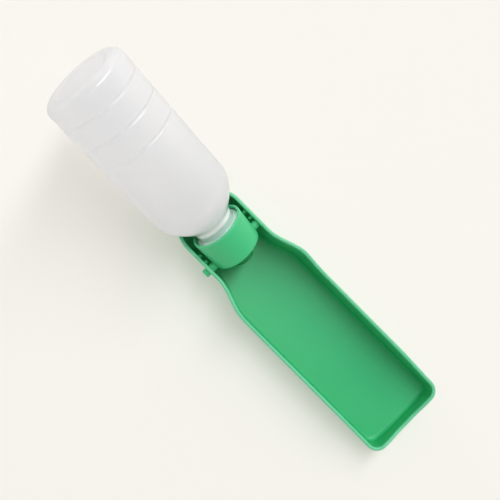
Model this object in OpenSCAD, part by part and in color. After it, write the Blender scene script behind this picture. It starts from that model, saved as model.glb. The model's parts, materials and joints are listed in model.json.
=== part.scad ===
// Travel water bottle for dogs: a squeeze bottle whose cap is pinned into the
// waist of a drinking trough. The bottle folds over its pins into the trough.
// Millimetres. +X runs along the trough to the drinking end, +Z is up, and the
// origin is the middle of the trough's flat underside.

/* [Bottle] */
// Outer diameter of the body
bottle_d = 58.4; // [48:0.2:71]
// Length from the lip of the neck to the base
bottle_l = 151.1; // [124:0.1:184]
// Wall thickness of the body
bottle_wall = 1; // [0.8:0.1:1.2]
// Outer diameter of the neck below the shoulder
neck_d = 29; // [24:0.2:35]
// Length of the neck, from the lip to the shoulder
neck_l = 25.5; // [23:0.1:31]
// How much slimmer the threaded end of the neck is, on the radius
neck_step = 0.9; // [0.4:0.1:1.2]
// Wall thickness of the neck's threaded end
neck_wall = 1.5; // [1.2:0.1:2]
// How far the bead round the neck stands out
neck_bead = 2.3; // [1.6:0.1:3]
// Width of the bead round the neck
neck_bead_w = 2.4; // [1.8:0.1:3]
// Length of the rounded shoulder
shoulder_l = 23; // [19:0.5:28]
// Number of rings moulded into the body
ring_n = 3; // [1:1:4]
// Spacing of the rings
ring_pitch = 16.3; // [13:0.1:20]
// Distance from the base to the nearest ring
ring_first = 16.8; // [14:0.1:20]
// Depth of a ring
ring_deep = 1.1; // [0.8:0.1:1.4]
// Width of a ring
ring_w = 3; // [2.4:0.1:4]
// Radius of the edge of the base
heel_r = 6.2; // [5:0.1:8]
// Width of the narrow ring that the base stands on
foot_w = 0.7; // [0.4:0.1:1.5]
// Depth of the dished base
dish = 1.6; // [1:0.1:2.4]

/* [Cap] */
// Length of the cap
cap_l = 24.6; // [20:0.2:30]
// Wall thickness at the open rim
cap_wall = 1.9; // [1.5:0.1:2.4]
// How much narrower the cap is at its front, on the diameter
cap_taper = 1.8; // [1:0.2:2.4]
// Radius of the cap's front edge
cap_edge = 2.4; // [1.5:0.1:3]
// Rounding of the cap's open rim
cap_round = 0.8; // [0.4:0.1:1]
// Thickness of the cap's front plate
front_t = 3.2; // [2.4:0.1:4]
// Distance from the middle of the pins to the cap's front face
pin_front = 4.1; // [3.6:0.1:5.5]
// How far the neck's bead lies inside the open rim
bead_in = 2; // [1:0.1:3]

/* [Nozzle and seals] */
// Diameter of the nozzle's stem in the front plate
stem_d = 12.6; // [10.4:0.2:15.2]
// Wall thickness of the nozzle
stem_wall = 1.4; // [1:0.1:1.8]
// How far the nozzle is wider than its stem, on the radius
nozzle_step = 1.4; // [0.8:0.1:2]
// How far the nozzle stands out from the cap
nozzle_l = 8.5; // [7:0.5:10.5]
// Thickness of the nozzle's end
nozzle_end = 2; // [1.5:0.1:2.5]
// Rounding of the nozzle's end
nozzle_edge = 1.5; // [0.8:0.1:2]
// Diameter of the outlet
outlet_d = 5; // [4:0.1:6]
// Thickness of the neck gasket
gasket_t = 2.2; // [1.6:0.1:2.8]
// Thickness of the outlet valve's rim
valve_t = 1.2; // [1:0.1:1.6]
// Width of the two crossed slits in the outlet valve
slit_w = 0.2; // [0.1:0.05:0.4]

/* [Pivot] */
// Diameter of the two pins on the cap
pin_d = 5.8; // [4.8:0.1:7]
// Distance from the pins to the centre of the half-round rear end
rear_gap = 20; // [17:0.5:24]
// Height of the rim above the holes for the pins
ear_wall = 2.5; // [2:0.1:4]
// How far the long pin stands out past the rolled rim
pin_proud = 3; // [1:0.5:4]
// How far the short pin stops inside the outer face of its wall
pin_short = 0.2; // [0.1:0.1:0.6]
// Angle of the open bottle above the trough
tilt = 28; // [23:1:34]
// Diameter of the detent nubs beside the pins
nub_d = 3; // [2.4:0.2:3.6]
// Spacing of the pin and the detent nubs
nub_pitch = 5.6; // [5.2:0.1:6.6]

/* [Trough] */
// Height of the rim along the two long sides
side_h = 28.5; // [23:0.5:34.5]
// Height of the rim in the middle of the drinking end
lip_h = 17; // [14:0.5:20.5]
// Height of the rim at the two far corners
lip_corner_h = 21.5; // [17:0.5:26]
// Length of the waist in front of the pins
waist_front = 8; // [6:0.5:12]
// Length of the curve from the waist to the wide part
flare_l = 32; // [26:1:39]
// Angle by which the drinking end bows out at its corners
bow = 5; // [3:0.5:7]
// Radius of the floor's two far corners, in plan
corner_floor_r = 0.9; // [0.6:0.1:3]
// Wall thickness
wall = 1.8; // [1.5:0.1:2.2]
// How far the wall leans out from the floor to the rim
draft = 1.6; // [1:0.1:2.4]
// Fillet between the inner wall and the floor
floor_r = 4; // [3:0.5:5]
// How far the rolled rim swells past the outer wall
bead = 0.7; // [0.4:0.1:1]

/* [Fits] */
// Radial running clearance of a pin in its hole
pin_gap = 0.08; // [0.04:0.01:0.1]
// Gap between the folded bottle and the trough's floor
bed_gap = 0.8; // [0.5:0.1:2]
// Gap between the folded bottle and the rolled rim on each side
side_gap = 0.3; // [0.3:0.1:1.5]
// Room left past the folded bottle's base
end_room = 20.3; // [20.3:0.1:30]
// Gap between the cap and the rolled rim of the waist
waist_gap = 3; // [2.4:0.1:4]
// Gap between the cap and the detent nubs
nub_gap = 1; // [0.5:0.1:1.4]
// Gap between the open bottle's shoulder and the rear rim
seat_gap = 0.4; // [0.4:0.1:0.8]
// Gap between the neck's lip and its gasket
lip_gap = 0.1; // [0.05:0.05:0.2]
// Gap between the neck and the cap's bore, taken up by the threads
thread_gap = 1.1; // [0.9:0.1:1.3]
// Gap between the neck's bead and the cap's mouth
bead_gap = 0.5; // [0.4:0.1:0.8]
// Gap round the gasket, the valve and the nozzle's stem
seal_gap = 0.1; // [0.05:0.05:0.15]

/* [Hidden] */

// radii about the bottle's axis
bottle_r = bottle_d / 2;
neck_r = neck_d / 2;
finish_r = neck_r - neck_step;
bead_r = neck_r + neck_bead;
thread_r = neck_r + thread_gap;
mouth_r = bead_r + bead_gap;
cap_r = mouth_r + cap_wall;
cap_front_r = cap_r - cap_taper / 2;
stem_r = stem_d / 2;
channel_r = stem_r - stem_wall;
nozzle_r = stem_r + nozzle_step;

// places along the bottle's axis, from the pins towards the base
front_s = -pin_front;
tip_s = front_s - nozzle_l;
seat_s = front_s + front_t;
lip_s = seat_s + gasket_t + lip_gap;
mouth_s = front_s + cap_l;
bead_s = mouth_s - bead_in - neck_bead_w;
shoulder_s = lip_s + neck_l;
base_s = lip_s + bottle_l;

// the trough's plan, which takes in the bottle and the cap
half_w = bottle_r + side_gap + wall + bead;
waist_r = cap_r + waist_gap + wall + bead;
trough_l = waist_r + rear_gap + base_s + end_room + wall + bead;
far_x = trough_l / 2;
pivot_x = -far_x + waist_r + rear_gap;
rear_x = pivot_x - rear_gap;
flare_x = pivot_x + waist_front;
corner_r = corner_floor_r + floor_r + draft + wall + bead;

// the pivot stands just high enough for the bottle to fold flat into the trough
pivot_z = wall + bed_gap + bottle_r;
ear_h = pivot_z + pin_d / 2 + ear_wall;

// ---- bottle ----------------------------------------------------------------

// shoulder: a quick rise from the neck that eases into the body
function shoulder(s) =
    let (u = min(1, max(0, (s - shoulder_s) / shoulder_l)))
    neck_r + (bottle_r - neck_r) * (1 - pow(1 - u, 1.7));

// one moulded ring, deepest in its middle
function ring_dip(s, c) =
    let (u = abs(s - c) / (ring_w / 2))
    u < 1 ? ring_deep * (1 + cos(180 * u)) / 2 : 0;

function rings(s) =
    max([for (i = [0 : ring_n - 1]) ring_dip(s, base_s - ring_first - i * ring_pitch)]);

// outer radius of the body from the shoulder to the heel
function body_r(s) = shoulder(s) - rings(s);

// places where the body's profile is sampled
shoulder_steps = [for (k = [0 : 18]) shoulder_s + shoulder_l * k / 18];
ring_steps = [for (i = [ring_n - 1 : -1 : 0]) for (k = [-1 : 0.2 : 1])
    base_s - ring_first - i * ring_pitch + k * ring_w / 2];
body_steps = concat(shoulder_steps, ring_steps);
// the inner profile leaves the neck's bore this many samples up the shoulder
inner_from = 3;

// the rounded heel, drawn this far inside the outer surface
function heel(inset) = [for (a = [0 : 10 : 90])
    [bottle_r - heel_r + (heel_r - inset) * cos(a), base_s - heel_r + (heel_r - inset) * sin(a)]];

module bottle_profile() {
    chamfer = 0.6;
    bore_r = finish_r - neck_wall;
    rim_r = bottle_r - heel_r - foot_w;
    dish_r = rim_r - 1.5 * dish;
    floor_s = base_s - dish;
    heel_in = heel(bottle_wall);
    outer = concat(
        [[finish_r, lip_s], [finish_r, bead_s - chamfer], [bead_r - chamfer, bead_s]],
        [[bead_r, bead_s + chamfer], [bead_r, bead_s + neck_bead_w - chamfer]],
        [[bead_r - chamfer, bead_s + neck_bead_w], [neck_r, bead_s + neck_bead_w + chamfer]],
        [for (s = body_steps) [body_r(s), s]],
        heel(0),
        [[rim_r, base_s], [dish_r, floor_s], [0, floor_s]]
    );
    inner = concat(
        [[0, floor_s - bottle_wall], [dish_r + bottle_wall / 2, floor_s - bottle_wall]],
        [[rim_r, base_s - bottle_wall]],
        [for (i = [len(heel_in) - 1 : -1 : 0]) heel_in[i]],
        [for (i = [len(body_steps) - 1 : -1 : inner_from]) [body_r(body_steps[i]) - bottle_wall, body_steps[i]]],
        [[bore_r, shoulder_s], [bore_r, lip_s]]
    );
    polygon(concat(outer, inner));
}

// ---- trough ----------------------------------------------------------------

corner_y = half_w - corner_r;
far_y = corner_y + corner_r * sin(bow);
corner_x = far_x - corner_r * cos(bow) - far_y * tan(bow) / 2;

// stretches along X over which the rim falls to the sides, then to the far end
fall_x = flare_x + 24;
fall_l = 26;
dip_x = corner_x - 34;
dip_l = 38;

// half-width of the plan between the waist and the wide part
function plan_w(u) = waist_r + (half_w - waist_r) * (1 - cos(180 * u)) / 2;

// one half of the plan outline, from the rear middle to the far middle
half_plan = concat(
    [for (a = [0 : 7.5 : 90]) [rear_x - waist_r * cos(a), waist_r * sin(a)]],
    [for (k = [1 : 6]) [rear_x + (flare_x - rear_x) * k / 6, waist_r]],
    [for (k = [1 : 14]) [flare_x + flare_l * k / 14, plan_w(k / 14)]],
    [for (k = [1 : 5]) [flare_x + flare_l + (fall_l - 2) * k / 5, half_w]],
    [for (k = [0 : 4]) [corner_x - 46 * (1 - k / 4), half_w]],
    [for (a = [80 : -10 : bow + 4]) [corner_x + corner_r * cos(a), corner_y + corner_r * sin(a)]],
    [for (k = [0 : 8])
        [far_x - far_y * tan(bow) / 2 * pow(1 - k / 8, 2), far_y * (1 - k / 8)]]
);
plan = concat(half_plan, [for (i = [len(half_plan) - 2 : -1 : 1]) [half_plan[i][0], -half_plan[i][1]]]);
plan_n = len(plan);

// inward normal of the plan at point i
function inward(i) =
    let (a = plan[(i + plan_n - 1) % plan_n], b = plan[(i + 1) % plan_n], d = b - a)
    [d[1], -d[0]] / norm(d);

function ease(u) = let (v = min(1, max(0, u))) v * v * (3 - 2 * v);
function soft_min(a, b, k) = let (h = max(0, k - abs(a - b)) / k) min(a, b) - h * h * k / 4;

// clearance of the point (x, y, z), taken from the pins, to the open bottle
function clear(x, y, z) =
    let (s = -x * cos(tilt) + z * sin(tilt), n = x * sin(tilt) + z * cos(tilt))
    norm([n, y]) - shoulder(s);

// highest point under the shoulder at (x, y), found by halving
function under(x, y, lo, hi, n) =
    let (m = (lo + hi) / 2)
    n == 0 ? lo : clear(x, y, m) > seat_gap ? under(x, y, m, hi, n - 1) : under(x, y, lo, m, n - 1);

// height of the rear rim, cut to the shoulder that lies in it
function saddle(i) =
    let (p = plan[i], q = inward(i), top = ear_h - pivot_z)
    min([for (d = [0.15, 0.5, 0.85] * (wall + bead))
        pivot_z + under(p[0] + q[0] * d - pivot_x, p[1] + q[1] * d, -20, top, 12)]);

// height of the rim all the way round
function rim_h(i) =
    let (p = plan[i], x = p[0], y = abs(p[1]),
         side = ear_h + (side_h - ear_h) * ease((x - fall_x) / fall_l),
         low = side + (lip_corner_h - side_h) * ease((x - dip_x) / dip_l),
         across = x > corner_x ? ease(1 - (y - 4) / (half_w - 10)) : 0)
    x < rear_x ? soft_min(ear_h, saddle(i), 3) : low - (lip_corner_h - lip_h) * across;

// one section of the wall, as [inset, height], from the underside to the floor
foot_r = floor_r + wall;
roll_r = (wall + bead) / 2;
function section(h) = concat(
    [for (a = [0 : 15 : 90])
        [bead + draft * (1 - foot_r / h) + foot_r * (1 - sin(a)), foot_r * (1 - cos(a))]],
    [[bead + draft * 0.45, h * 0.5], [bead, h - 2.6 * roll_r], [bead * 0.3, h - 1.9 * roll_r]],
    [for (a = [-15 : 30 : 165]) [roll_r * (1 - cos(a)), h - roll_r + roll_r * sin(a)]],
    [[2 * roll_r + draft * 0.1, h - 1.9 * roll_r], [2 * roll_r + draft * 0.45, h * 0.5]],
    [for (a = [0 : 15 : 90])
        [2 * roll_r + draft * (1 - foot_r / h) + floor_r * (1 - cos(a)), wall + floor_r * (1 - sin(a))]]
);

module trough_shell() {
    rows = [for (i = [0 : plan_n - 1]) section(rim_h(i))];
    m = len(rows[0]);
    points = [for (i = [0 : plan_n - 1]) let (p = plan[i], q = inward(i))
        for (r = rows[i]) [p[0] + q[0] * r[0], p[1] + q[1] * r[0], r[1]]];
    quads = [for (i = [0 : plan_n - 1]) let (j = (i + 1) % plan_n)
        for (k = [0 : m - 2])
            for (f = [[i * m + k, i * m + k + 1, j * m + k + 1], [i * m + k, j * m + k + 1, j * m + k]]) f];
    under_face = [[for (i = [0 : plan_n - 1]) i * m]];
    floor_face = [[for (i = [plan_n - 1 : -1 : 0]) i * m + m - 1]];
    polyhedron(points, concat(quads, under_face, floor_face), convexity = 8);
}

// ---- pieces ----------------------------------------------------------------

// places its children on the bottle's axis, with the pins at their origin
module on_axis() {
    translate([pivot_x, 0, pivot_z]) rotate([0, tilt - 90, 0]) children();
}

module trough() {
    nub_l = waist_gap - nub_gap + 1;
    color("mediumseagreen")
    difference() {
        union() {
            trough_shell();
            for (side = [-1, 1], k = [1, 2])
                translate([pivot_x - k * nub_pitch, side * (cap_r + nub_gap), pivot_z])
                    rotate([90 * -side, 0, 0]) cylinder(d = nub_d, h = nub_l, $fn = 32);
        }
        translate([pivot_x, 0, pivot_z]) rotate([90, 0, 0])
            cylinder(r = pin_d / 2 + pin_gap, h = 2 * waist_r + 4, center = true, $fn = 48);
    }
}

module bottle() {
    color("gainsboro") on_axis() rotate_extrude($fn = 96) bottle_profile();
}

module cap() {
    long_pin = waist_r + pin_proud;
    short_pin = waist_r - bead - pin_short;
    mouth_deep = bead_in + neck_bead_w + 1.2;
    color("mediumseagreen") on_axis() {
        difference() {
            union() {
                rotate_extrude($fn = 96) polygon(concat(
                    [[0, front_s]],
                    [for (a = [0 : 15 : 90])
                        [cap_front_r - cap_edge * (1 - sin(a)), front_s + cap_edge * (1 - cos(a))]],
                    [for (a = [0 : 30 : 90])
                        [cap_r - cap_round * (1 - cos(a)), mouth_s - cap_round * (1 - sin(a))]],
                    [[0, mouth_s]]
                ));
                rotate([90, 0, 0]) cylinder(d = pin_d, h = long_pin, $fn = 48);
                rotate([-90, 0, 0]) cylinder(d = pin_d, h = short_pin, $fn = 48);
            }
            translate([0, 0, seat_s]) cylinder(r = thread_r, h = cap_l, $fn = 96);
            translate([0, 0, mouth_s - mouth_deep]) cylinder(r = mouth_r, h = cap_l, $fn = 96);
            translate([0, 0, front_s - 1]) cylinder(r = stem_r + seal_gap, h = front_t + 2, $fn = 64);
        }
    }
}

module nozzle() {
    color("seagreen") on_axis() rotate_extrude($fn = 64) polygon(concat(
        [[outlet_d / 2, tip_s]],
        [for (a = [0 : 15 : 90])
            [nozzle_r - nozzle_edge * (1 - sin(a)), tip_s + nozzle_edge * (1 - cos(a))]],
        [[nozzle_r, front_s], [stem_r, front_s], [stem_r, seat_s], [channel_r, seat_s]],
        [[channel_r, tip_s + nozzle_end], [outlet_d / 2, tip_s + nozzle_end]]
    ));
}

module neck_gasket() {
    color("whitesmoke") on_axis() translate([0, 0, seat_s]) difference() {
        cylinder(r = thread_r - seal_gap, h = gasket_t, $fn = 64);
        translate([0, 0, -1]) cylinder(r = nozzle_r, h = gasket_t + 2, $fn = 64);
    }
}

module outlet_valve() {
    r = channel_r - seal_gap;
    color("whitesmoke") on_axis() translate([0, 0, tip_s + nozzle_end]) difference() {
        rotate_extrude($fn = 48) polygon([[0, 0], [r, 0], [r, valve_t], [r - stem_wall, valve_t], [0, valve_t * 0.6]]);
        for (a = [0, 90]) rotate([0, 0, a]) cube([outlet_d - 1, slit_w, 4 * valve_t], center = true);
    }
}

trough();
bottle();
cap();
nozzle();
neck_gasket();
outlet_valve();
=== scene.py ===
import bpy
import bmesh
import json
import math
from mathutils import Matrix, Vector


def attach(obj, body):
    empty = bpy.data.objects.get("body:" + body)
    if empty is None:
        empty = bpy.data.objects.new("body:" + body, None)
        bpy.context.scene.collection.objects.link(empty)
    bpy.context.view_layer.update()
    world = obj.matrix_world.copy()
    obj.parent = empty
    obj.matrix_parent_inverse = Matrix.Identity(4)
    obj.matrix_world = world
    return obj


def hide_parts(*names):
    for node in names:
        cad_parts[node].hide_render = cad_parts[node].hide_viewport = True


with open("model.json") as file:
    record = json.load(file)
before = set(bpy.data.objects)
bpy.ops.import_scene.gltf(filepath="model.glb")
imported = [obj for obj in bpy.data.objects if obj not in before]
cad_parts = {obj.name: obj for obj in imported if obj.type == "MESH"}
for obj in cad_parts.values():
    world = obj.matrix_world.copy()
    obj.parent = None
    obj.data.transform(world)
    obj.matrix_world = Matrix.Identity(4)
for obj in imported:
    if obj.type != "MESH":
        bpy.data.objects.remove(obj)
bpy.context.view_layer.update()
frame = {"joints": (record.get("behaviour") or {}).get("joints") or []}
print("frame loaded")

mm = 0.001
weld = 0.000002                                    # points closer than this become one
crease = 38                                        # edges sharper than this many degrees stay sharp

# the pivot and the bottle's direction come from the frame's joints, in metres
joints = {j["name"]: j for j in frame["joints"]}
pivot = Vector(joints["fold"]["pos_m"])
bottleWay = Vector(joints["bottle_off"]["axis"]).normalized()
tilt = math.atan2(bottleWay.z, -bottleWay.x)
axisTurn = Matrix.Translation(pivot) @ Matrix.Rotation(tilt - math.pi / 2, 4, "Y")       # lathe to bottle
axisBack = axisTurn.inverted()


class Wire:                                        # one socket, with arithmetic on it
    def __init__(self, board, socket):
        self.board, self.socket = board, socket

    def calc(self, operation, *others):
        return self.board.node("ShaderNodeMath", {"operation": operation}, dict(enumerate((self,) + others)))

    def __add__(self, other):
        return self.calc("ADD", other)

    def __sub__(self, other):
        return self.calc("SUBTRACT", other)

    def __mul__(self, other):
        return self.calc("MULTIPLY", other)

    def __truediv__(self, other):
        return self.calc("DIVIDE", other)

    def __neg__(self):
        return self * -1.0

    def __rsub__(self, other):
        return -self + other

    __radd__ = __add__
    __rmul__ = __mul__

    def power(self, other):
        return self.calc("POWER", other)

    def sine(self):
        return self.calc("SINE")

    def cosine(self):
        return self.calc("COSINE")

    def least(self, other):
        return self.calc("MINIMUM", other)

    def most(self, other):
        return self.calc("MAXIMUM", other)

    def absolute(self):
        return self.calc("ABSOLUTE")

    def clipped(self):
        return self.least(1.0).most(0.0)


class Board:                                       # a node tree, and the one way to add a node to it
    def __init__(self, tree):
        self.tree = tree

    def node(self, kind, settings=None, sockets=None, out=0):
        made = self.tree.nodes.new(kind)
        for name, value in (settings or {}).items():
            setattr(made, name, value)
        for key, value in (sockets or {}).items():
            if isinstance(value, Wire):
                self.tree.links.new(value.socket, made.inputs[key])
            else:
                made.inputs[key].default_value = value
        return Wire(self, made.outputs[out]) if len(made.outputs) else made

    def wire(self, made, out):                     # another output of the same node
        return Wire(self, made.socket.node.outputs[out])


def linear(srgb):                                  # 0-255 screen colour to scene linear, with alpha
    return tuple((v / 255 / 12.92) if v <= 10 else ((v / 255 + 0.055) / 1.055) ** 2.4 for v in srgb) + (1,)


def newMaterial(name):
    material = bpy.data.materials.new(name)
    material.use_nodes = True
    material.node_tree.nodes.clear()
    board = Board(material.node_tree)
    return material, board, board.node("ShaderNodeTexCoord", None, None, 3)          # object coordinates


def noise(b, place, scale, detail, **more):
    return b.node("ShaderNodeTexNoise", None, {"Vector": place, "Scale": scale, "Detail": detail, **more})


def blend(b, factor, low, high):
    return b.node("ShaderNodeMix", {"data_type": "RGBA"}, {0: factor, 6: low, 7: high}, 2)


def stored(b, name):                               # a value painted on the mesh
    return b.node("ShaderNodeAttribute", {"attribute_name": name}, None, 2)


# rim is a paler green, a painted highlight laid along rims by the edge value
greenLook = {
    "body": (60, 197, 129), "deep": (53, 190, 122), "rim": (108, 208, 158),
    "roughness": 0.34, "shine": 0.4, "cloud": 38.0, "flow": 9.0, "grain": 2400.0,
    "grainDepth": 0.10, "bumpHeight": 0.00012,
}
capLook = dict(greenLook, body=(74, 200, 135), deep=(66, 193, 128), shine=0.3)
# the nozzle's darker green is painted shade, for the shade under the cap's front
nozzleShadedLook = dict(greenLook, body=(5, 138, 70), deep=(3, 128, 62), shine=0.35)


def makeGreenPlastic(name, look):                  # moulded polypropylene, satin, with a painted highlight of paler green along the rims
    material, b, place = newMaterial(name)
    cloud = noise(b, place, look["cloud"], 3.0)
    flow = noise(b, place, look["flow"], 2.0, Distortion=0.6)
    grain = noise(b, place, look["grain"], 2.0)
    tone = (cloud * 0.35 + flow * 0.65 - 0.35) * 1.9
    base = blend(b, tone.clipped(), linear(look["deep"]), linear(look["body"]))
    bump = b.node("ShaderNodeBump", None, {
        "Strength": look["grainDepth"], "Distance": look["bumpHeight"], "Height": grain + cloud * 0.6})
    shader = b.node("ShaderNodeBsdfPrincipled", None, {
        # painted highlight: the edge value blends in the paler rim green
        "Base Color": blend(b, stored(b, "edge").clipped(), base, linear(look["rim"])),
        "Roughness": (look["roughness"] - 0.05) + cloud * 0.10 + grain * 0.04,
        "Normal": bump, "IOR": 1.5, "Specular IOR Level": look["shine"]})
    b.node("ShaderNodeOutputMaterial", None, {"Surface": shader})
    return material


# the band colour is painted green light from the cap, seen through the neck near its mouth
bottleLook = {
    "milk": (254, 254.3, 255), "shade": (252, 252.3, 254), "neck": (246, 252, 251), "paintedCapGreen": (212, 238, 231),
    "roughness": 0.20, "cloud": 26.0, "orange": 900.0, "bumpHeight": 0.0002, "clear": 0.06,
    "through": 0.74, "foldThrough": 0.96, "neckThick": 0.62,
}


def makeBottlePlastic(name, look):                 # milky polyethylene that passes light, denser at the neck, with painted green light from the cap near the mouth
    material, b, place = newMaterial(name)
    cloud = noise(b, place, look["cloud"], 4.0, Roughness=0.6)
    skin = noise(b, place, look["orange"], 1.0)
    neck, paintedCapGreen, fold = stored(b, "edge"), stored(b, "paintedCapGreen"), stored(b, "fold")
    tone = ((cloud - 0.35) * 2.6).clipped()
    base = blend(b, tone, linear(look["shade"]), linear(look["milk"]))
    pale = blend(b, neck.clipped(), base, linear(look["neck"]))
    # painted green light from the cap over the neck, near and inside its mouth
    withPaintedGreen = blend(b, paintedCapGreen.clipped(), pale, linear(look["paintedCapGreen"]))
    bump = b.node("ShaderNodeBump", None, {
        "Strength": 0.12, "Distance": look["bumpHeight"], "Height": skin * 0.4 + cloud})
    solid = (1 - look["clear"]) + tone * look["clear"]
    wall = b.node("ShaderNodeBsdfPrincipled", None, {
        "Base Color": withPaintedGreen, "Roughness": look["roughness"] - 0.04 + cloud * 0.12, "Normal": bump,
        "Alpha": solid.clipped(), "IOR": 1.75, "Specular IOR Level": 1.0,
        "Coat Weight": 0.9, "Coat Roughness": 0.12})
    glow = b.node("ShaderNodeBsdfTranslucent", None, {"Color": withPaintedGreen, "Normal": bump})
    passed = look["through"] + fold * (look["foldThrough"] - look["through"])
    passed = passed - neck.clipped() * look["neckThick"]
    both = b.node("ShaderNodeMixShader", None, {0: passed, 1: wall, 2: glow})
    b.node("ShaderNodeOutputMaterial", None, {"Surface": both})
    return material


siliconeLook = {"low": (206, 208, 204), "high": (228, 229, 226), "dust": 600.0, "bumpHeight": 0.0001}


def makeSilicone(name, look):                      # matt white rubber of the seals
    material, b, place = newMaterial(name)
    dust = noise(b, place, look["dust"], 3.0)
    bump = b.node("ShaderNodeBump", None, {"Strength": 0.2, "Distance": look["bumpHeight"], "Height": dust})
    shader = b.node("ShaderNodeBsdfPrincipled", None, {
        "Base Color": blend(b, dust, linear(look["low"]), linear(look["high"])),
        "Roughness": 0.55 + dust * 0.1, "Normal": bump, "Subsurface Weight": 0.1})
    b.node("ShaderNodeOutputMaterial", None, {"Surface": shader})
    return material


greenPlastic = makeGreenPlastic("greenPlastic", greenLook)
capPlastic = makeGreenPlastic("capPlastic", capLook)
nozzleShadedPlastic = makeGreenPlastic("nozzleShadedPlastic", nozzleShadedLook)
bottlePlastic = makeBottlePlastic("bottlePlastic", bottleLook)
whiteSilicone = makeSilicone("whiteSilicone", siliconeLook)
print("materials made")


def newTree(name, inputs):
    tree = bpy.data.node_groups.new(name, "GeometryNodeTree")
    tree.interface.new_socket("Geometry", in_out="INPUT", socket_type="NodeSocketGeometry")
    for label, kind, value in inputs:
        socket = tree.interface.new_socket(label, in_out="INPUT", socket_type="NodeSocket" + kind)
        if value is not None:
            socket.default_value = value
    tree.interface.new_socket("Geometry", in_out="OUTPUT", socket_type="NodeSocketGeometry")
    board = Board(tree)
    source = tree.nodes.new("NodeGroupInput")
    return tree, board, {s.name: Wire(board, s) for s in source.outputs if s.name}


def closeTree(board, shape, material):
    real = board.node("GeometryNodeRealizeInstances", None, {"Geometry": shape})
    painted = board.node("GeometryNodeSetMaterial", None, {"Geometry": real, "Material": material})
    board.node("NodeGroupOutput", None, {0: painted})


def makeLatheTree():                               # spins the profile's points and presses even rings into it
    tree, b, given = newTree("latheWithRings", [
        ("Segments", "Int", 96), ("Ring Count", "Int", 0), ("Ring Start", "Float", 0.0),
        ("Ring Pitch", "Float", 0.016), ("Ring Depth", "Float", 0.0), ("Ring Width", "Float", 0.003),
        ("Material", "Material", None)])
    across = given["Segments"] + 1
    size = b.node("GeometryNodeAttributeDomainSize", {"component": "MESH"}, {"Geometry": given["Geometry"]})
    sheet = b.node("GeometryNodeMeshGrid", None, {"Vertices X": size, "Vertices Y": across})
    index = b.node("GeometryNodeInputIndex")
    row = (index / across).calc("FLOOR")
    turn = (index - row * across) / given["Segments"] * (2 * math.pi)
    spot = b.node("GeometryNodeInputPosition")
    picked = b.node("GeometryNodeSampleIndex", {"data_type": "FLOAT_VECTOR", "domain": "POINT"},
                    {"Geometry": given["Geometry"], "Value": spot, "Index": row})
    radius = b.node("ShaderNodeSeparateXYZ", None, {0: picked})
    height = b.wire(radius, 2)
    step = ((height - given["Ring Start"]) / given["Ring Pitch"]).calc("ROUND")
    step = step.most(0.0).least(given["Ring Count"] - 1)
    away = (height - given["Ring Start"] - step * given["Ring Pitch"]).absolute()
    valley = ((away / (given["Ring Width"] * 0.5)).least(1.0) * math.pi).cosine() * 0.5 + 0.5
    pressed = (radius - given["Ring Depth"] * valley).most(0.0)
    place = b.node("ShaderNodeCombineXYZ", None, {
        0: pressed * turn.cosine(), 1: pressed * turn.sine(), 2: height})
    spun = b.node("GeometryNodeSetPosition", None, {"Geometry": sheet, "Position": place})
    joined = b.node("GeometryNodeMergeByDistance", None, {"Geometry": spun, "Distance": weld})
    closeTree(b, b.node("GeometryNodeSetShadeSmooth", None, {"Geometry": joined}), given["Material"])
    return tree


def makeThreadTree():                              # a helix rib that fades out at both ends
    tree, b, given = newTree("screwThread", [
        ("Turns", "Float", 2.0), ("Radius", "Float", 0.014), ("Rise", "Float", 0.004),
        ("Rib", "Float", 0.0008), ("Fade", "Float", 8.0), ("Material", "Material", None)])
    helix = b.node("GeometryNodeCurveSpiral", None, {
        "Resolution": 72, "Rotations": given["Turns"], "Start Radius": given["Radius"],
        "End Radius": given["Radius"], "Height": given["Rise"] * given["Turns"]})
    along = b.node("GeometryNodeSplineParameter")
    thick = (along * given["Fade"]).least((1 - along) * given["Fade"]).least(1.0)
    swollen = b.node("GeometryNodeSetCurveRadius", None, {"Curve": helix, "Radius": thick.most(0.02)})
    rib = b.node("GeometryNodeCurvePrimitiveCircle", {"mode": "RADIUS"}, {
        "Resolution": 10, "Radius": given["Rib"]})
    tube = b.node("GeometryNodeCurveToMesh", None, {
        "Curve": swollen, "Profile Curve": rib, "Fill Caps": True})
    closeTree(b, b.node("GeometryNodeSetShadeSmooth", None, {"Geometry": tube}), given["Material"])
    return tree


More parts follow.
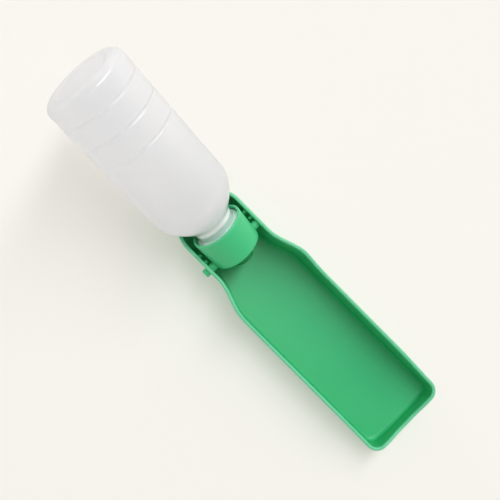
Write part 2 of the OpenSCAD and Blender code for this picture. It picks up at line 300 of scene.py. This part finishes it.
def makeNubTree():                                 # pairs of small round nubs, one pair for each step along X
    tree, b, given = newTree("detentNubs", [
        ("Count", "Int", 2), ("Step", "Float", 0.0056), ("Apart", "Float", 0.044),
        ("Radius", "Float", 0.0015), ("Length", "Float", 0.003), ("Material", "Material", None)])
    start = b.node("ShaderNodeCombineXYZ", None, {0: -given["Step"], 1: given["Apart"] * 0.5, 2: 0.0})
    offset = b.node("ShaderNodeCombineXYZ", None, {0: -given["Step"], 1: 0.0, 2: 0.0})
    line = b.node("GeometryNodeMeshLine", {"mode": "OFFSET"}, {
        "Count": given["Count"], "Start Location": start, "Offset": offset})
    other = b.node("GeometryNodeTransform", None, {"Geometry": line, "Scale": (1, -1, 1)})
    both = b.node("GeometryNodeJoinGeometry", None, {0: line})
    b.tree.links.new(other.socket, both.socket.node.inputs[0])
    rod = b.node("GeometryNodeMeshCylinder", {"fill_type": "TRIANGLE_FAN"}, {
        "Vertices": 32, "Side Segments": 2, "Fill Segments": 3,
        "Radius": given["Radius"], "Depth": given["Length"]})
    part = b.node("ShaderNodeSeparateXYZ", None, {0: b.node("GeometryNodeInputPosition")})
    slim = 1 - (b.wire(part, 2).absolute() / (given["Length"] * 0.5)).power(6.0) * 0.25      # rounds the ends
    shaped = b.node("ShaderNodeCombineXYZ", None, {
        0: part * slim, 1: b.wire(part, 1) * slim, 2: b.wire(part, 2)})
    rounded = b.node("GeometryNodeSetPosition", None, {"Geometry": rod, "Position": shaped})
    placed = b.node("GeometryNodeInstanceOnPoints", None, {
        "Points": both, "Instance": rounded, "Rotation": (math.pi / 2, 0, 0)})
    closeTree(b, placed, given["Material"])
    return tree


latheTree = makeLatheTree()
threadTree = makeThreadTree()
nubTree = makeNubTree()
print("node trees made")


def ease(u):
    v = min(1, max(0, u))
    return v * v * (3 - 2 * v)


def softMin(a, b, k):
    h = max(0, k - abs(a - b)) / k
    return min(a, b) - h * h * k / 4


def arc(cx, cy, r, start, end, steps):             # points of an arc, angles in degrees
    angles = [math.radians(start + (end - start) * k / steps) for k in range(steps + 1)]
    return [(cx + r * math.cos(a), cy + r * math.sin(a)) for a in angles]


def linked(name, mesh):
    item = bpy.data.objects.new(name, mesh)
    bpy.context.collection.objects.link(item)
    return item


def evaluated(item):                               # the object's mesh with its modifiers applied
    graph = bpy.context.evaluated_depsgraph_get()
    mesh = bpy.data.meshes.new_from_object(item.evaluated_get(graph))
    bpy.data.objects.remove(item)
    return mesh


def smooth(mesh, angle):
    mesh.shade_smooth()
    mesh.set_sharp_from_angle(angle=math.radians(angle))


def keep(name, mesh, material, turn=None, angle=crease):
    if turn is not None:
        mesh.transform(turn)
    shell = bmesh.new()
    shell.from_mesh(mesh)
    bmesh.ops.remove_doubles(shell, verts=shell.verts, dist=weld)
    bmesh.ops.recalc_face_normals(shell, faces=shell.faces)
    shell.to_mesh(mesh)
    shell.free()
    mesh.name = name
    mesh.materials.clear()
    mesh.materials.append(material)
    mesh.polygons.foreach_set("material_index", [0] * len(mesh.polygons))
    smooth(mesh, angle)
    return linked(name, mesh)


def grow(name, mesh, tree, values, turn=None):     # runs a tree on a mesh and keeps the result
    seed = linked(name + "Seed", mesh)
    modifier = seed.modifiers.new("grow", "NODES")
    modifier.node_group = tree
    for item in tree.interface.items_tree:
        if item.in_out == "INPUT" and item.name in values:
            modifier[item.identifier] = values[item.name]
    return keep(name, evaluated(seed), values["Material"], turn)


def lathe(name, points, material, segments=96, closed=True, **rings):    # points are [radius, height] in mm
    if closed:
        points = points + [points[0]]
    line = bpy.data.meshes.new(name + "Line")
    edges = [(i, i + 1) for i in range(len(points) - 1)]
    line.from_pydata([(r * mm, 0, s * mm) for r, s in points], edges, [])
    values = {"Segments": segments, "Material": material}
    values.update(rings)
    return grow(name, line, latheTree, values, axisTurn)


def thread(name, spec, radius, start, material):   # a screw thread around the bottle's axis
    lift = Matrix.Translation((0, 0, start * mm))
    return grow(name, bpy.data.meshes.new(name + "Line"), threadTree, {
        "Turns": spec["threadTurns"], "Radius": radius * mm, "Rise": spec["threadRise"] * mm,
        "Rib": spec["threadRib"] * mm, "Material": material}, axisTurn @ lift)


def paint(piece, name, rule):                      # stores rule(height along the axis, in mm) on each vertex
    mesh = piece.data
    layer = mesh.attributes.new(name, "FLOAT", "POINT")
    for vertex in mesh.vertices:
        layer.data[vertex.index].value = rule((axisBack @ vertex.co).z / mm)


def dress(piece, body, slot, *nodes):
    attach(piece, body)
    if nodes:
        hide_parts(*nodes)


bottle = {
    "radius": 29.2, "length": 151.1, "lip": 1.4, "neckRadius": 14.5, "neckLength": 25.5, "shoulder": 23.0,
    "heel": 6.2, "foot": 0.7, "dish": 1.1, "wall": 1.0, "ringCount": 3, "ringPitch": 16.3, "ringFirst": 16.8,
    "ringDepth": 0.75, "ringWidth": 3.2, "finishStep": 0.9, "neckWall": 1.5, "collarRadius": 16.8,
    "collarRound": 0.7, "mouth": 20.5, "threadTurns": 2.2, "threadRise": 3.6, "threadRib": 0.75,
}


def shoulderRadius(s, spec=bottle):
    u = min(1, max(0, (s - spec["lip"] - spec["neckLength"]) / spec["shoulder"]))
    return spec["neckRadius"] + (spec["radius"] - spec["neckRadius"]) * (1 - (1 - u) ** 1.7)


def bottleProfile(spec):                           # from the lip, outside to the base, and back inside
    lip, neck, r, wall = spec["lip"], spec["neckRadius"], spec["radius"], spec["wall"]
    finish, mouth, edge = neck - spec["finishStep"], spec["mouth"], spec["collarRound"]
    start, base = lip + spec["neckLength"], lip + spec["length"]
    full, foot = start + spec["shoulder"], base - spec["heel"]
    bed, bottom = spec["collarRadius"] - edge, base - spec["dish"]
    rise = [start + spec["shoulder"] * k / 40 for k in range(41)]
    straight = [full + (foot - full) * k / 240 for k in range(1, 240)]
    outer = arc(finish - 0.5, lip + 0.5, 0.5, -90, 0, 4) + [(finish, mouth - 5.2)]
    outer += arc(bed, mouth - 3.9, edge, -70, 0, 4) + arc(bed, mouth - 2.5, edge, 0, 70, 4)
    outer += [(neck + 0.3, mouth - 1.6), (neck - 0.3, mouth - 1.2), (neck - 0.4, mouth - 0.9)]
    outer += [(neck - 0.4, mouth + 2.3), (neck - 0.3, mouth + 2.7), (neck - 0.05, mouth + 3.0)]
    outer += [(neck, mouth + 3.3), (neck, start - 1.4), (neck + 0.12, start - 0.6)]
    outer += [(shoulderRadius(s), s) for s in rise[1:]] + [(r, s) for s in straight]
    outer += arc(r - spec["heel"], foot, spec["heel"], 0, 90, 14)
    rim = r - spec["heel"] - spec["foot"]
    outer += [(rim - 4.5 * k / 10, base - spec["dish"] * ease(k / 10)) for k in range(11)]
    outer += [(rim - 9, bottom), (0, bottom)]
    inner = [(0, bottom - wall), (rim - 1.4, bottom - wall)]
    inner += list(reversed(arc(r - spec["heel"], foot, spec["heel"] - wall, 0, 90, 8)))
    inner += [(r - wall, s) for s in reversed(straight)]
    inner += [(shoulderRadius(s) - wall, s) for s in reversed(rise[6:])]
    inner += [(finish - spec["neckWall"], start), (finish - spec["neckWall"], lip)]
    return outer + inner


def makeBottle(spec):
    start, mouth = spec["lip"] + spec["neckLength"], spec["mouth"]
    lastRing = spec["lip"] + spec["length"] - spec["ringFirst"]
    rings = [lastRing - k * spec["ringPitch"] for k in range(spec["ringCount"])]
    shell = lathe("bottleShell", bottleProfile(spec), bottlePlastic, 160, **{
        "Ring Count": spec["ringCount"], "Ring Pitch": spec["ringPitch"] * mm, "Ring Start": rings[-1] * mm,
        "Ring Depth": spec["ringDepth"] * mm, "Ring Width": spec["ringWidth"] * mm})
    shaded = [ring + spec["ringWidth"] / 4 for ring in rings]        # each ring's flank toward the base
    paint(shell, "edge", lambda s: 1 - ease((s - start - 2) / 9))
    # painted green light from the cap, up to just outside its mouth
    paint(shell, "paintedCapGreen", lambda s: 1 - ease((s - mouth - 2.6) / 0.6))
    paint(shell, "fold", lambda s: max(0, 1 - min(abs(s - flank) for flank in shaded) / 1.3))
    dress(shell, "bottle", "bottle_plastic", "bottle")
    rib = thread("neckThread", spec, spec["neckRadius"] - spec["finishStep"], spec["lip"] + 3, bottlePlastic)
    paint(rib, "edge", lambda s: 1)
    # the thread gets the painted cap green too
    paint(rib, "paintedCapGreen", lambda s: 1)
    dress(rib, "bottle", "bottle_plastic")


makeBottle(bottle)
print("bottle made")

cap = {
    "radius": 19.2, "frontRadius": 18.3, "front": -4.1, "length": 24.6, "plate": 3.2, "edge": 2.4,
    "threadRadius": 15.6, "mouthRadius": 17.3, "mouthDepth": 5.6, "mouthRound": 0.7, "stem": 6.4,
    "pinRadius": 2.9, "pinRound": 0.5, "pinSides": 48, "longPin": 27.7, "shortPin": 23.8,
    "threadTurns": 2.4, "threadRise": 3.6, "threadRib": 0.45, "paintedRimHighlight": 0.55,
}


def capProfile(spec):
    front, mouth = spec["front"], spec["front"] + spec["length"]
    r, seat, curve = spec["radius"], front + spec["plate"], spec["mouthRound"]
    taper, low, rise = r - spec["frontRadius"], front + spec["edge"], spec["length"] - spec["edge"] - 0.9
    outside = [(spec["stem"], front)] + arc(spec["frontRadius"] - spec["edge"], low, spec["edge"], -90, 0, 12)
    outside += [(spec["frontRadius"] + taper * k / 12, low + rise * k / 12) for k in range(1, 13)]
    outside += arc(r - curve, mouth - curve, curve, 15, 90, 6)
    ledge = mouth - spec["mouthDepth"]
    inside = [(spec["mouthRadius"] + 0.4, mouth), (spec["mouthRadius"], mouth - 0.5)]
    inside += [(spec["mouthRadius"], ledge), (spec["threadRadius"], ledge)]
    inside += [(spec["threadRadius"], seat), (spec["stem"], seat)]
    return outside + inside


def addPin(work, spec, side, reach):               # a round pin from inside the cap's wall out to reach
    r, edge, sides = spec["pinRadius"], spec["pinRound"], spec["pinSides"]
    rings = [(r, spec["frontRadius"] - 1.2), (r, reach - edge), (r - 0.15, reach - 0.15), (r - edge, reach),
             (1.1, reach), (0.9, reach - 0.25)]
    loops = []
    angles = [2 * math.pi * k / sides for k in range(sides)]
    for radius, out in rings:
        spots = [Vector((radius * math.cos(a), side * out, radius * math.sin(a))) for a in angles]
        loops.append([work.verts.new(spot * mm + pivot) for spot in spots])
    for near, far in zip(loops, loops[1:]):
        for k in range(sides):
            work.faces.new((near[k], near[(k + 1) % sides], far[(k + 1) % sides], far[k]))
    work.faces.new(loops[-1])
    work.faces.new(list(reversed(loops[0])))


def makeCap(spec):
    mouth = spec["front"] + spec["length"]
    shell = lathe("capShell", capProfile(spec), capPlastic, 144)
    work = bmesh.new()
    work.from_mesh(shell.data)
    addPin(work, spec, -1, spec["longPin"])
    addPin(work, spec, 1, spec["shortPin"])
    bmesh.ops.recalc_face_normals(work, faces=work.faces)
    work.to_mesh(shell.data)
    work.free()
    smooth(shell.data, crease)
    # painted highlight along the cap's mouth rim
    paint(shell, "edge", lambda s: spec["paintedRimHighlight"] * max(0, 1 - abs(s - mouth) / 1.6))
    dress(shell, "cap", "green_plastic", "cap")
    rib = thread("capThread", spec, spec["threadRadius"], spec["front"] + spec["plate"] + 3.5, capPlastic)
    dress(rib, "cap", "green_plastic")


nozzle = {"radius": 7.7, "length": 8.5, "outlet": 2.5, "stem": 6.3, "bore": 4.9, "round": 1.5, "endWall": 2.0}


def makeNozzle(spec):
    front, end, curve = cap["front"], cap["front"] - spec["length"], spec["round"]
    seat, floor = front + cap["plate"], end + spec["endWall"]
    line = [(spec["outlet"], end + 0.3), (spec["outlet"] + 0.3, end)]
    line += arc(spec["radius"] - curve, end + curve, curve, -90, 0, 10)
    line += [(spec["radius"], front - 0.4), (spec["radius"] + 0.25, front), (spec["stem"], front)]
    line += [(spec["stem"], seat), (spec["bore"], seat), (spec["bore"], floor), (spec["outlet"], floor)]
    dress(lathe("nozzleTip", line, nozzleShadedPlastic), "cap", "nozzle_plastic", "nozzle")


gasket = {
    "inner": 7.7, "outer": 15.5, "height": 2.2, "round": 0.3,
    "pressIn": 12.3, "pressOut": 13.3, "press": 0.25,
}


def makeGasket(spec):                              # with the shallow ring that the bottle's lip presses in
    seat = cap["front"] + cap["plate"]
    top, curve, inner, outer = seat + spec["height"], spec["round"], spec["inner"], spec["outer"]
    ring = [(inner, seat + curve), (inner + curve, seat), (outer - curve, seat), (outer, seat + curve)]
    ring += [(outer, top - curve), (outer - curve, top), (spec["pressOut"] + curve, top)]
    ring += [(spec["pressOut"], top - spec["press"]), (spec["pressIn"], top - spec["press"])]
    ring += [(spec["pressIn"] - curve, top), (inner + curve, top), (inner, top - curve)]
    dress(lathe("neckSeal", ring, whiteSilicone), "cap", "white_silicone", "neck_gasket")


valve = {"radius": 4.8, "height": 1.2, "flat": 3.4, "thin": 0.72}


def makeValve(spec):
    low = cap["front"] - nozzle["length"] + nozzle["endWall"]
    high = low + spec["height"]
    disc = [(0, low), (spec["radius"], low), (spec["radius"], high), (spec["flat"], high)]
    soft = lathe("squeezeValve", disc + [(0, low + spec["thin"])], whiteSilicone, 64, closed=False)
    dress(soft, "cap", "white_silicone", "outlet_valve")


makeCap(cap)
makeNozzle(nozzle)
makeGasket(gasket)
makeValve(valve)
print("cap, nozzle and seals made")

trough = {
    "length": 220.0, "width": 64.0, "sideHeight": 28.5, "lipHeight": 17.0, "cornerHeight": 21.5,
    "waist": 49.4, "flareGap": 8.0, "flare": 32.0, "corner": 9.0, "bow": 5.0, "rearGap": 20.0,
    "wall": 1.8, "draft": 1.6, "fillet": 4.0, "bead": 0.7,
    "floorRound": 2.7, "insideDraft": 1.1, "insideCorner": 6.0,
    "earRise": 5.4, "seatGap": 0.4, "nubRadius": 1.5, "nubPitch": 5.6, "nubLength": 3.0, "pinHole": 2.98,
}


def planOutline(spec):                             # from the rear by +Y to the far end, then mirrored
    waist, half, flare = spec["waist"] / 2, spec["width"] / 2, spec["flare"]
    rear, flareStart = pivot.x / mm - spec["rearGap"], pivot.x / mm + spec["flareGap"]
    r, bow = spec["corner"], math.radians(spec["bow"])
    cy = half - r
    farY = cy + r * math.sin(bow)
    cx = spec["length"] / 2 - r * math.cos(bow) - farY * math.tan(bow) / 2
    farX, flareEnd = cx + r * math.cos(bow), flareStart + flare
    turns = [math.radians(a) for a in range(0, 91, 3)]
    side = [(rear - waist * math.cos(a), waist * math.sin(a)) for a in turns]
    side += [(rear + (flareStart - rear) * k / 14, waist) for k in range(1, 15)]
    for k in range(1, 29):
        widening = (1 - math.cos(math.pi * k / 28)) / 2
        side.append((flareStart + flare * k / 28, waist + (half - waist) * widening))
    side += [(flareEnd + (cx - flareEnd) * k / 60, half) for k in range(1, 61)]
    side += arc(cx, cy, r, 86, spec["bow"] + 3, 20)
    for k in range(21):
        left = 1 - k / 20                          # how far is left to the middle
        side.append((farX + farY * math.tan(bow) / 2 * (1 - left ** 2), farY * left))
    return side + [(x, -y) for x, y in reversed(side[1:-1])], cx


def underShoulder(spec, x, y):                     # height over the pivot at which the rim clears the bottle
    low, high = -20.0, spec["earRise"] + 6
    for step in range(14):
        middle = (low + high) / 2
        s = -x * math.cos(tilt) + middle * math.sin(tilt)
        away = math.hypot(x * math.sin(tilt) + middle * math.cos(tilt), y)
        if away - shoulderRadius(s) > spec["seatGap"]:
            low = middle
        else:
            high = middle
    return low


def rimHeight(spec, point, inward, cornerX):
    px, pz = pivot.x / mm, pivot.z / mm
    ear = pz + spec["earRise"]
    x, y = point
    if x < px - spec["rearGap"]:
        inset = [(x + inward[0] * d - px, y + inward[1] * d) for d in (0.375, 1.25, 2.125)]
        return softMin(ear, pz + min(underShoulder(spec, *spot) for spot in inset), 3)
    fall = ease((x - px - spec["flareGap"] - 24) / 26)
    dip = ease((x - cornerX + 34) / 38)
    side = ear + (spec["sideHeight"] - ear) * fall
    low = side + (spec["cornerHeight"] - spec["sideHeight"]) * dip
    lip = ease(1 - (abs(y) - 4) / (spec["width"] / 2 - 10)) if x > cornerX else 0
    return low - (spec["cornerHeight"] - spec["lipHeight"]) * lip


def wallSection(spec, h):                          # [inset, height, painted rim highlight], over the rim and inside
    wall, bead, draft, lean = spec["wall"], spec["bead"], spec["draft"], spec["insideDraft"]
    foot = min(spec["fillet"] + wall, spec["corner"] - draft - bead - 0.5)
    roll, turn = (wall + bead) / 2, spec["floorRound"]
    quarter = [(math.sin(math.radians(a)), math.cos(math.radians(a))) for a in range(0, 91, 9)]
    outside = [(bead + draft * (1 - foot / h) + foot * (1 - s), foot * (1 - c), 0) for s, c in quarter]
    outside += [(bead + draft * (1 - u), h * u, 0) for u in (0.3, 0.5, 0.7)]
    # the third value is the painted rim highlight, full over the bead's rounded top
    outside += [(bead + 0.03, h - 3.4 * roll, 0), (bead, h - 2.7 * roll, 0.1)]
    outside += [(bead * 0.8, h - 2.35 * roll, 0.35), (bead * 0.25, h - 2.05 * roll, 0.6)]
    outside += [(bead * 0.05, h - 1.6 * roll, 0.75)]
    for a in range(-12, 181, 12):
        s, c = math.sin(math.radians(a)), math.cos(math.radians(a))
        outside.append((roll * (1 - c), h - roll + roll * s, 1))
    outside += [(2 * roll + 0.02, h - 1.5 * roll, 0.8), (2 * roll - 0.05, h - 1.9 * roll, 0.4)]
    inside = [(2 * roll - 0.12, h - 2.3 * roll, 0.1)]
    inside += [(2 * roll + lean * (1 - u), h * u, 0) for u in (0.7, 0.5, 0.35)]
    edge = 2 * roll + lean * (1 - (wall + turn) / h)
    inside += [(edge + turn * (1 - c), wall + turn * (1 - s), 0) for s, c in quarter]
    return outside, inside


def cornerFill(spec, point, cornerX, inset):       # keeps the inside corners round right down to the floor
    wanted, own = spec["insideCorner"], spec["corner"] - inset
    more = wanted - own
    dx, dy = point[0] - cornerX, abs(point[1]) - (spec["width"] / 2 - spec["corner"])
    if more <= 0:
        return 0
    if min(dx, dy) <= 0:
        return wanted - math.sqrt(wanted ** 2 - max(more + min(dx, dy), 0) ** 2)
    toward = more * (dx + dy) / math.hypot(dx, dy)
    return own + toward - math.sqrt(toward ** 2 - 2 * more ** 2 + wanted ** 2)


def makeTroughBlank(spec):                         # the shell lofted along its plan, before the pin holes
    plan, cornerX = planOutline(spec)
    work = bmesh.new()
    # this edge layer holds the painted highlight along the rim
    tone = work.verts.layers.float.new("edge")
    loops = []
    for i, point in enumerate(plan):
        before, after = plan[i - 1], plan[(i + 1) % len(plan)]
        dx, dy = after[0] - before[0], after[1] - before[1]
        inward = (dy / math.hypot(dx, dy), -dx / math.hypot(dx, dy))
        outside, inside = wallSection(spec, rimHeight(spec, point, inward, cornerX))
        inside = [(inset + cornerFill(spec, point, cornerX, inset), z, shade) for inset, z, shade in inside]
        loop = []
        for inset, z, shade in outside + inside:
            spot = Vector((point[0] + inward[0] * inset, point[1] + inward[1] * inset, z))
            vertex = work.verts.new(spot * mm)
            vertex[tone] = shade
            loop.append(vertex)
        loops.append(loop)
    for here, there in zip(loops, loops[1:] + loops[:1]):
        for k in range(len(here) - 1):
            work.faces.new((here[k], here[k + 1], there[k + 1], there[k]))
    work.faces.new([loop[0] for loop in loops])
    work.faces.new([loop[-1] for loop in reversed(loops)])
    bmesh.ops.recalc_face_normals(work, faces=work.faces)
    bmesh.ops.triangulate(work, faces=[f for f in work.faces if len(f.verts) > 4])
    mesh = bpy.data.meshes.new("troughBlank")
    work.to_mesh(mesh)
    work.free()
    return linked("troughBlank", mesh)


def makeDrill(spec):                               # the rod that cuts both pin holes
    mesh = bpy.data.meshes.new("drill")
    bit = bmesh.new()
    across = Matrix.Translation(pivot) @ Matrix.Rotation(math.pi / 2, 4, "X")
    bmesh.ops.create_cone(bit, cap_ends=True, segments=64, radius1=spec["pinHole"] * mm,
                          radius2=spec["pinHole"] * mm, depth=(spec["waist"] + 4) * mm, matrix=across)
    bit.to_mesh(mesh)
    bit.free()
    return linked("drill", mesh)


def makeTrough(spec):
    blank, drill = makeTroughBlank(spec), makeDrill(spec)
    cut = blank.modifiers.new("holes", "BOOLEAN")
    cut.operation, cut.object, cut.solver = "DIFFERENCE", drill, "EXACT"
    shell = keep("troughShell", evaluated(blank), greenPlastic, None, 40)
    bpy.data.objects.remove(drill)
    dress(shell, "trough", "green_plastic", "trough")
    apart = spec["waist"] - 2 * (spec["bead"] + spec["wall"] + 0.5)
    nubs = grow("detentNubs", bpy.data.meshes.new("nubLine"), nubTree, {
        "Count": 2, "Step": spec["nubPitch"] * mm, "Apart": apart * mm, "Radius": spec["nubRadius"] * mm,
        "Length": spec["nubLength"] * mm, "Material": greenPlastic}, Matrix.Translation(pivot))
    dress(nubs, "trough", "green_plastic")


makeTrough(trough)
print("trough made")

studio = {
    "floor": (250, 248, 242), "paper": (249, 246, 239), "reach": 4.0,
    "lift": 0.34, "litLift": 0.85, "litFrom": 0.05,
    "sky": (1.0, 0.95, 0.86), "ceiling": 0.05, "walls": 1.7, "falling": 2.0, "dimSide": 0.8,
    "key": {"power": 200.0, "wide": 1.5, "deep": 6.2, "height": 60.0, "turn": 16.0, "gloss": True},
    "fill": {"power": 116.0, "wide": 7.0, "deep": 7.0, "height": 86.0, "turn": 40.0, "gloss": False},
    "lampDistance": 6.0, "lampTone": (1.0, 1.01, 1.04),
}


def makeFloor(spec):
    mesh = bpy.data.meshes.new("paleFloor")
    s = spec["reach"]
    mesh.from_pydata([(-s, -s, 0), (s, -s, 0), (s, s, 0), (-s, s, 0)], [], [(0, 1, 2, 3)])
    floor = linked("paleFloor", mesh)
    material, b, place = newMaterial("paleFloor")
    matt = b.node("ShaderNodeBsdfPrincipled", None, {
        "Base Color": linear(spec["floor"]), "Roughness": 0.9, "Specular IOR Level": 0.0})
    ray = b.node("ShaderNodeLightPath")
    seen = ray.most(b.wire(ray, 3)).most(b.wire(ray, 6))             # camera, glossy and transmission rays
    across = b.wire(b.node("ShaderNodeSeparateXYZ", None, {0: place}), 1)
    lift = b.node("ShaderNodeMapRange", {"interpolation_type": "SMOOTHSTEP"}, {
        "Value": across, "From Min": 0.0, "From Max": spec["litFrom"],
        "To Min": spec["lift"], "To Max": spec["litLift"]})          # plainer away from the shadow
    paper = b.node("ShaderNodeEmission", None, {"Color": linear(spec["paper"]), "Strength": 1.0})
    both = b.node("ShaderNodeMixShader", None, {0: seen * lift, 1: matt, 2: paper})
    b.node("ShaderNodeOutputMaterial", None, {"Surface": both})
    mesh.materials.append(material)


def makeWorld(spec):                               # pale walls under a dim ceiling, brighter toward the key
    world = bpy.data.worlds.new("softRoom")
    bpy.context.scene.world = world
    world.use_nodes = True
    world.node_tree.nodes.clear()
    b = Board(world.node_tree)
    split = b.node("ShaderNodeSeparateXYZ", None, {0: b.node("ShaderNodeTexCoord")})
    side, up = b.wire(split, 1), b.wire(split, 2)
    window = (side * 0.5 + 0.5).clipped() * (1 - spec["dimSide"]) + spec["dimSide"]
    glow = spec["ceiling"] + (1 - up.clipped()).power(spec["falling"]) * window * spec["walls"]
    air = b.node("ShaderNodeBackground", None, {"Color": (*spec["sky"], 1), "Strength": glow})
    b.node("ShaderNodeOutputWorld", None, {"Surface": air})


def makeLamp(name, look, spec):
    lamp = bpy.data.lights.new(name, "AREA")
    lamp.shape, lamp.size, lamp.size_y = "ELLIPSE", look["wide"], look["deep"]
    lamp.energy, lamp.color = look["power"], spec["lampTone"]
    box = linked(name, lamp)
    high, turn = math.radians(look["height"]), math.radians(look["turn"])
    way = Vector((-math.cos(high) * math.sin(turn), math.cos(high) * math.cos(turn), math.sin(high)))
    box.location = way * spec["lampDistance"]
    box.rotation_euler = way.to_track_quat("Z", "Y").to_euler()
    box.visible_glossy = look["gloss"]             # only the key leaves highlights


view = {"eye": (-70.8, -44.97, 581.07), "aim": (-55.38, -18.18, 28.5), "focalPixels": 812.15, "shift": 0.05,
        "imagePixels": 500, "sensor": 36.0}


def makeCamera(spec):
    data = bpy.data.cameras.new("camera")
    data.sensor_width = spec["sensor"]
    data.lens = spec["sensor"] * spec["focalPixels"] / spec["imagePixels"]
    data.clip_start, data.clip_end = 0.01, 20
    data.shift_x = data.shift_y = spec["shift"]
    camera = linked("camera", data)
    eye, aim = Vector(spec["eye"]) * mm, Vector(spec["aim"]) * mm
    back = (eye - aim).normalized()
    up = Vector((-1, 1, 0)).normalized()           # the view's top edge lies toward -X and +Y
    right = up.cross(back).normalized()
    turned = Matrix((right, back.cross(right), back)).transposed()
    camera.matrix_world = Matrix.Translation(eye) @ turned.to_4x4()
    bpy.context.scene.camera = camera


makeFloor(studio)
makeWorld(studio)
makeLamp("key", studio["key"], studio)
makeLamp("fill", studio["fill"], studio)
makeCamera(view)
bpy.context.scene.view_settings.view_transform = "Standard"
print("stage set")

bpy.context.view_layer.update()
